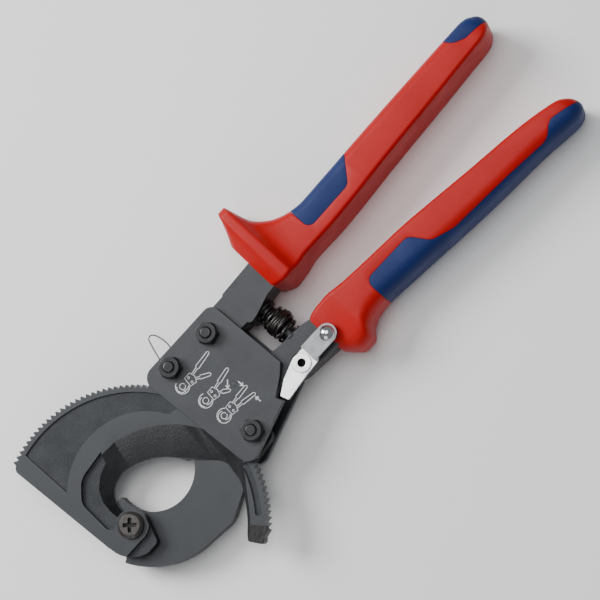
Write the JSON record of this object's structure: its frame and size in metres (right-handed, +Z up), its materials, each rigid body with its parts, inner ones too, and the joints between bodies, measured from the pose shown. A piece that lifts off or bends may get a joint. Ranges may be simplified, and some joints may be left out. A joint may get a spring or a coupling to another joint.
{
  "type": "ratcheting cable cutter",
  "caption": "Hand ratchet cable cutter with a toothed sickle blade, a fixed hooked blade, side plates, pawls, a lever handle with a latch and two-tone grips.",
  "frame": {"origin": "on the blade pivot's axis, at the pivot nut's back face, in the plane the tool lies on", "axes": "+X along the fixed handle towards the grip ends, +Y away from the moving handle, +Z up through the front plate"},
  "size_m": [0.2553, 0.1013, 0.0253],
  "materials": {
    "plate_steel": "satin dark grey coating",
    "blade_steel": "satin dark grey coating over forged steel",
    "arm_steel": "satin dark grey coating over forged steel",
    "black_oxide": "black oxide, slightly oily",
    "screw_steel": "browned steel",
    "bare_steel": "ground steel",
    "spring_steel": "dark oiled spring wire",
    "bright_wire": "drawn spring wire",
    "bright_plate": "bright zinc plating",
    "red_plastic": "fine grained red moulding",
    "blue_plastic": "fine grained blue soft moulding"
  },
  "bodies": {
    "frame": {"front_plate": "plate_steel", "back_plate": "plate_steel", "fixed_blade": "blade_steel", "blade_pivot_screw": "screw_steel", "blade_pivot_bush": "bare_steel", "blade_pivot_washer": "bare_steel", "blade_pivot_nut": "black_oxide", "frame_bolts": "black_oxide", "frame_nuts": "black_oxide", "spacer_sleeves": "bare_steel", "fixed_arm": "arm_steel", "fixed_grip": "red_plastic", "fixed_grip_inlay": "blue_plastic", "fixed_grip_end_inlay": "blue_plastic", "handle_pivot_pin": "black_oxide", "handle_pivot_spacer": "bare_steel", "holding_pawl_spring": "bright_wire", "spring_anchor_pin": "black_oxide", "opening_spring": "spring_steel", "arm_spring_seat": "black_oxide"},
    "moving_blade": {"moving_blade": "blade_steel"},
    "handle": {"moving_arm": "arm_steel", "moving_grip": "red_plastic", "moving_grip_inlay": "blue_plastic", "drive_pawl_pin": "bare_steel", "drive_pawl_spring": "bright_wire", "latch_rivet": "bright_plate", "latch_spring": "bright_wire", "lever_spring_seat": "black_oxide"},
    "drive_pawl": {"drive_pawl": "bare_steel"},
    "holding_pawl": {"holding_pawl": "bare_steel", "release_wire": "bright_wire"},
    "latch": {"latch_lever": "bright_plate", "latch_knob": "bright_plate"}
  },
  "joints": [
    {"name": "blade_hinge", "type": "hinge", "parent": "frame", "child": "moving_blade", "pos_m": [0, 0, 0.0142], "axis": [0, 0, 1], "range_deg": [-35, 95]},
    {"name": "handle_hinge", "type": "hinge", "parent": "frame", "child": "handle", "pos_m": [0.0755, 0.0015, 0.012], "axis": [0, 0, 1], "range_deg": [0, 10.5], "stiffness_Nm_per_rad": 0.8, "springref_deg": -20.05, "deforming": ["opening_spring"]},
    {"name": "drive_pawl_hinge", "type": "hinge", "parent": "handle", "child": "drive_pawl", "pos_m": [0.06151, 0.00447, 0.0148], "axis": [0, 0, 1], "range_deg": [0, 5], "stiffness_Nm_per_rad": 0.01, "springref_deg": -17.19},
    {"name": "holding_pawl_hinge", "type": "hinge", "parent": "frame", "child": "holding_pawl", "pos_m": [0.05551, 0.03001, 0.0148], "axis": [0, 0, 1], "range_deg": [0, 8], "stiffness_Nm_per_rad": 0.01, "springref_deg": -17.19},
    {"name": "latch_hinge", "type": "hinge", "parent": "handle", "child": "latch", "pos_m": [0.0921, -0.0068, 0.018], "axis": [0, 0, 1], "range_deg": [0, 20], "stiffness_Nm_per_rad": 0.02, "springref_deg": -17.19}
  ]
}
